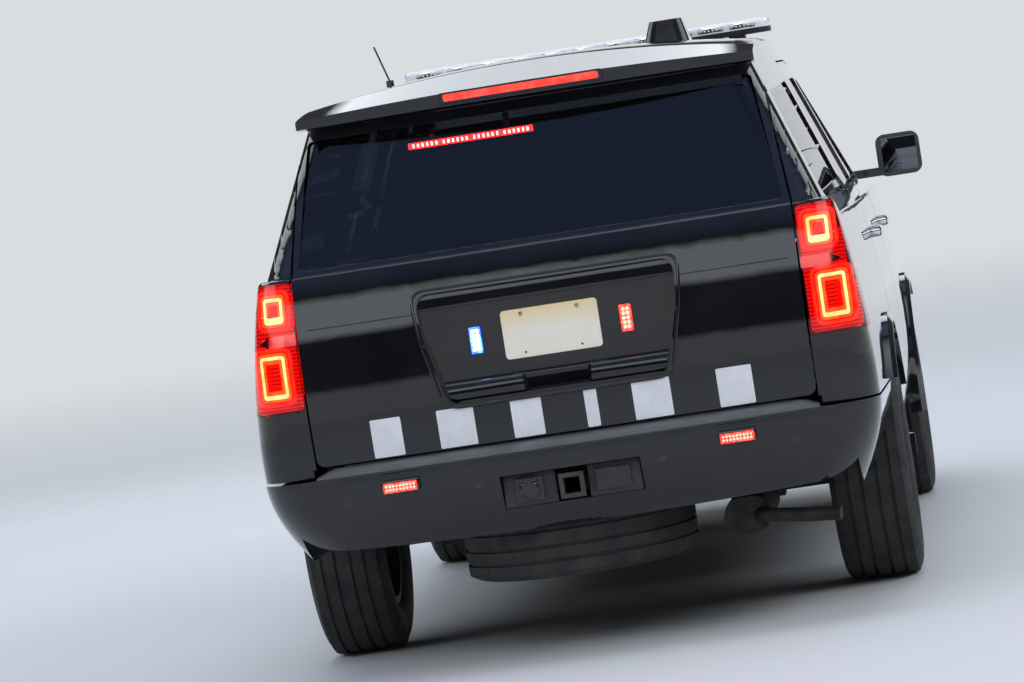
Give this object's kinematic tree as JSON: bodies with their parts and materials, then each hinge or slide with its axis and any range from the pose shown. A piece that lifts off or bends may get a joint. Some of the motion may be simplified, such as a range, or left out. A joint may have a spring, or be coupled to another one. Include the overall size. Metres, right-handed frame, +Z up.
{
  "type": "police patrol car",
  "caption": "Full-size body-on-frame patrol sport utility car with opening doors, hood and liftgate, steered and rolling wheels, light bar and rear hitch.",
  "frame": {"origin": "on the ground under the middle of the car's length and width", "axes": "+X forward, +Y to the car's left, +Z up"},
  "size_m": [5.1971, 2.3, 1.9983],
  "materials": {
    "paint": "deep gloss black car paint",
    "trim": "grained black plastic",
    "glass": "lightly tinted safety glass",
    "glass_dark": "dark privacy glass",
    "lens_red": "red lamp lens over bright optics",
    "lens_blue_red": "clear lens over blue and red warning diodes",
    "lens_clear": "clear polycarbonate lens",
    "lens_white": "milky clear lens over warning diodes",
    "plate": "blank cream reflective sheet",
    "frame_black": "satin black dip coat",
    "spring_steel": "dark coated steel",
    "cast": "dull cast iron",
    "aluminium": "bare finned aluminium",
    "exhaust_steel": "heat-stained steel",
    "rubber": "black tyre rubber",
    "tyre": "black tyre rubber",
    "rim_paint": "satin black steel wheel",
    "seat_cloth": "black woven seat cloth",
    "seat_vinyl": "black vinyl",
    "partition_clear": "black frame with a clear pane"
  },
  "bodies": {
    "chassis": {"body_side_left": "paint", "body_side_right": "paint", "cowl_panel": "trim", "dashboard": "trim", "engine_block": "cast", "exhaust": "exhaust_steel", "fixed_glass": "glass", "floor_pan": "frame_black", "front_bumper": "paint", "front_fenders": "paint", "front_seats": "seat_cloth", "fuel_tank": "trim", "grille": "trim", "headlamps": "lens_clear", "hitch_receiver": "frame_black", "ladder_frame": "frame_black", "light_bar": "lens_white", "partition": "partition_clear", "radiator": "aluminium", "rear_axle": "cast", "rear_bench": "seat_vinyl", "rear_bumper": "paint", "rear_lamps": "lens_red", "roof_antennas": "trim", "roof_panel": "paint", "spare_wheel": "rubber", "springs": "spring_steel", "suspension_links": "frame_black"},
    "hood": {"hood": "paint"},
    "liftgate": {"liftgate": "paint", "liftgate_glass": "glass_dark", "roof_spoiler": "paint", "number_plate": "plate", "liftgate_lamps": "lens_blue_red"},
    "front_door_left": {"front_door_left": "paint", "front_door_glass_left": "glass", "mirror_left": "paint"},
    "front_door_right": {"front_door_right": "paint", "front_door_glass_right": "glass", "mirror_right": "paint"},
    "rear_door_left": {"rear_door_left": "paint", "rear_door_glass_left": "glass_dark"},
    "rear_door_right": {"rear_door_right": "paint", "rear_door_glass_right": "glass_dark"},
    "knuckle_left": {"knuckle_left": "cast"},
    "knuckle_right": {"knuckle_right": "cast"},
    "steering_wheel": {"steering_wheel": "trim"},
    "wheel_front_left": {"tyre_front_left": "tyre", "rim_front_left": "rim_paint"},
    "wheel_front_right": {"tyre_front_right": "tyre", "rim_front_right": "rim_paint"},
    "wheel_rear_left": {"tyre_rear_left": "tyre", "rim_rear_left": "rim_paint"},
    "wheel_rear_right": {"tyre_rear_right": "tyre", "rim_rear_right": "rim_paint"}
  },
  "joints": [
    {"name": "front_door_left_hinge", "type": "hinge", "parent": "chassis", "child": "front_door_left", "pos_m": [1, 1.009, 0.8], "axis": [0, 0, -1], "range_deg": [0, 65]},
    {"name": "rear_door_left_hinge", "type": "hinge", "parent": "chassis", "child": "rear_door_left", "pos_m": [-0.08, 1.009, 0.8], "axis": [0, 0, -1], "range_deg": [0, 68]},
    {"name": "front_door_right_hinge", "type": "hinge", "parent": "chassis", "child": "front_door_right", "pos_m": [1, -1.009, 0.8], "axis": [0, 0, 1], "range_deg": [0, 65]},
    {"name": "rear_door_right_hinge", "type": "hinge", "parent": "chassis", "child": "rear_door_right", "pos_m": [-0.08, -1.009, 0.8], "axis": [0, 0, 1], "range_deg": [0, 68]},
    {"name": "hood_hinge", "type": "hinge", "parent": "chassis", "child": "hood", "pos_m": [1.262, 0, 1.262], "axis": [0, -1, 0], "range_deg": [0, 50]},
    {"name": "liftgate_hinge", "type": "hinge", "parent": "chassis", "child": "liftgate", "pos_m": [-2.091, 0, 1.872], "axis": [0, 1, 0], "range_deg": [0, 88]},
    {"name": "steer_left", "type": "hinge", "parent": "chassis", "child": "knuckle_left", "pos_m": [1.55, 0.76, 0.375], "axis": [0, 0, 1], "range_deg": [-33, 33]},
    {"name": "steer_right", "type": "hinge", "parent": "chassis", "child": "knuckle_right", "pos_m": [1.55, -0.76, 0.375], "axis": [0, 0, 1], "range_deg": [-33, 33]},
    {"name": "steering_wheel_spin", "type": "hinge", "parent": "chassis", "child": "steering_wheel", "pos_m": [0.585, 0.4, 1.16], "axis": [-0.9135, 0, 0.4067], "range_deg": [-530, 530]},
    {"name": "wheel_front_left_spin", "type": "hinge", "parent": "knuckle_left", "child": "wheel_front_left", "pos_m": [1.55, 0.872, 0.375], "axis": [0, 1, 0], "continuous": true},
    {"name": "wheel_front_right_spin", "type": "hinge", "parent": "knuckle_right", "child": "wheel_front_right", "pos_m": [1.55, -0.872, 0.375], "axis": [0, 1, 0], "continuous": true},
    {"name": "wheel_rear_left_spin", "type": "hinge", "parent": "chassis", "child": "wheel_rear_left", "pos_m": [-1.396, 0.872, 0.375], "axis": [0, 1, 0], "continuous": true},
    {"name": "wheel_rear_right_spin", "type": "hinge", "parent": "chassis", "child": "wheel_rear_right", "pos_m": [-1.396, -0.872, 0.375], "axis": [0, 1, 0], "continuous": true}
  ],
  "couplings": [
    {"joint": "steer_right", "follows": "steer_left", "ratio": 1},
    {"joint": "steering_wheel_spin", "follows": "steer_left", "ratio": 16}
  ]
}
